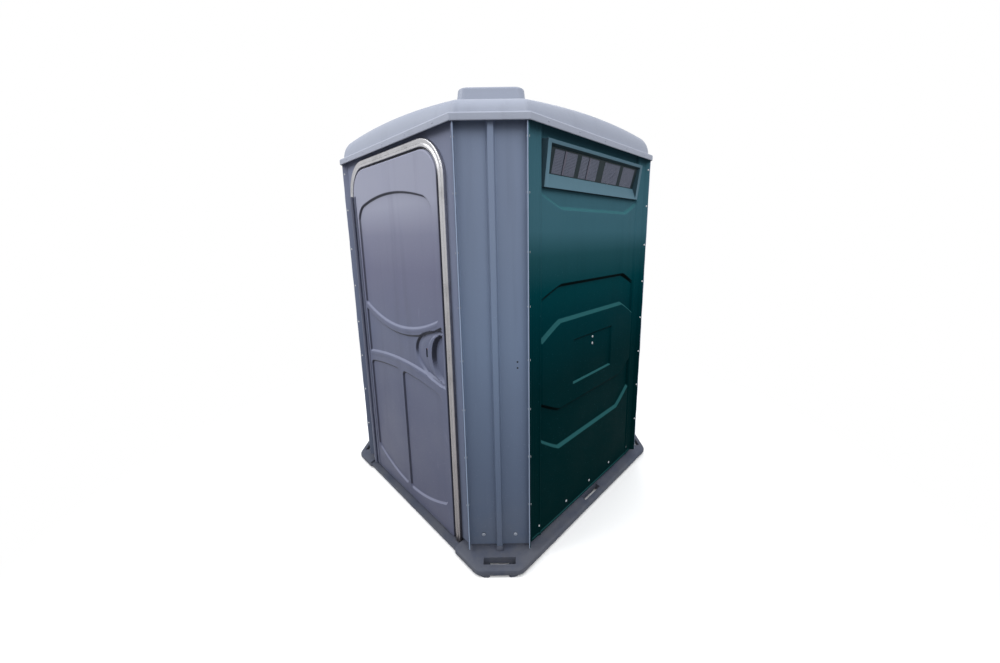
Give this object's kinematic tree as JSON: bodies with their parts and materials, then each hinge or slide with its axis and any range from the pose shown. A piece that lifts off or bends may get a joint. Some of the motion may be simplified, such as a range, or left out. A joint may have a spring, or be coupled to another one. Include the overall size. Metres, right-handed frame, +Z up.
{
  "type": "accessible portable toilet",
  "caption": "Square roomy toilet cabin with cut corners, a low flat entry, an outward swinging door with a privacy latch, a domed roof, a tank with a seat and grab bars.",
  "frame": {"origin": "on the ground, at the middle of the base", "axes": "+Z up, the doorway looks along -Y, +X to the right seen from in front of the door"},
  "size_m": [1.58, 1.58, 2.286],
  "materials": {
    "base_grey": "moulded, slightly rough, dusty at the foot",
    "wall_green": "moulded, soft sheen, fine grain",
    "vent_green": "moulded, soft sheen",
    "screen_grey": "moulded, light grey, slotted",
    "cabin_grey": "moulded, soft sheen",
    "jamb_metal": "bright, brushed lengthwise",
    "door_grey": "moulded, soft sheen",
    "hinge_metal": "satin",
    "sign_green": "satin",
    "latch_black": "satin",
    "fitting_steel": "satin",
    "roof_grey": "moulded, soft sheen, slightly milky",
    "tank_grey": "moulded",
    "seat_black": "glossy",
    "pipe_grey": "drawn, smooth",
    "bar_steel": "satin",
    "paper": "soft and matt",
    "screw_steel": "bare"
  },
  "bodies": {
    "cabin": {"base": "base_grey", "wall_panel_right": "wall_green", "wall_panel_back": "wall_green", "wall_panel_left": "wall_green", "vent_frame_right": "vent_green", "vent_frame_back": "vent_green", "vent_frame_left": "vent_green", "vent_screen_right": "screen_grey", "vent_screen_back": "screen_grey", "vent_screen_left": "screen_grey", "corner_panel_back_right": "cabin_grey", "corner_panel_back_left": "cabin_grey", "corner_panel_front_left": "cabin_grey", "corner_panel_front_right": "cabin_grey", "front_frame": "cabin_grey", "jamb_trim": "jamb_metal", "hinge_frame_plate": "hinge_metal", "hinge_pin": "hinge_metal", "latch_keeper": "fitting_steel", "roof": "roof_grey", "holding_tank": "tank_grey", "seat_hinge_mount": "fitting_steel", "vent_pipe_lower": "pipe_grey", "vent_pipe_upper": "pipe_grey", "pipe_clamp": "fitting_steel", "grab_bar_side": "bar_steel", "grab_bar_rear": "bar_steel", "paper_holder": "fitting_steel", "coat_hook": "fitting_steel", "corner_foot_screw_1": "screw_steel", "corner_foot_screw_2": "screw_steel", "corner_foot_screw_3": "screw_steel", "corner_foot_screw_4": "screw_steel", "corner_foot_screw_5": "screw_steel", "corner_foot_screw_6": "screw_steel", "corner_foot_screw_7": "screw_steel", "corner_foot_screw_8": "screw_steel"},
    "door": {"door_outer_skin": "door_grey", "door_inner_skin": "door_grey", "hinge_leaf_plate": "hinge_metal", "latch_backing_plate": "fitting_steel", "door_inner_pull": "fitting_steel"},
    "latch": {"indicator_disc": "sign_green", "latch_spindle": "hinge_metal", "latch_lever": "latch_black"},
    "seat": {"seat_ring": "seat_black"},
    "roll_a": {"paper_roll_a": "paper"},
    "roll_b": {"paper_roll_b": "paper"}
  },
  "joints": [
    {"name": "door_hinge", "type": "hinge", "parent": "cabin", "child": "door", "pos_m": [-0.4405, -0.762, 0.97], "axis": [0, 0, -1], "range_deg": [0, 115]},
    {"name": "latch_turn", "type": "hinge", "parent": "door", "child": "latch", "pos_m": [0.262, -0.7125, 0.9755], "axis": [0, -1, 0], "range_deg": [0, 90]},
    {"name": "seat_hinge", "type": "hinge", "parent": "cabin", "child": "seat", "pos_m": [-0.27, 0.585, 0.45], "axis": [-1, 0, 0], "range_deg": [0, 95]},
    {"name": "roll_a_spin", "type": "hinge", "parent": "cabin", "child": "roll_a", "pos_m": [-0.6527, -0.11, 0.572], "axis": [0, 1, 0], "continuous": true},
    {"name": "roll_b_spin", "type": "hinge", "parent": "cabin", "child": "roll_b", "pos_m": [-0.6527, 0, 0.572], "axis": [0, 1, 0], "continuous": true}
  ]
}
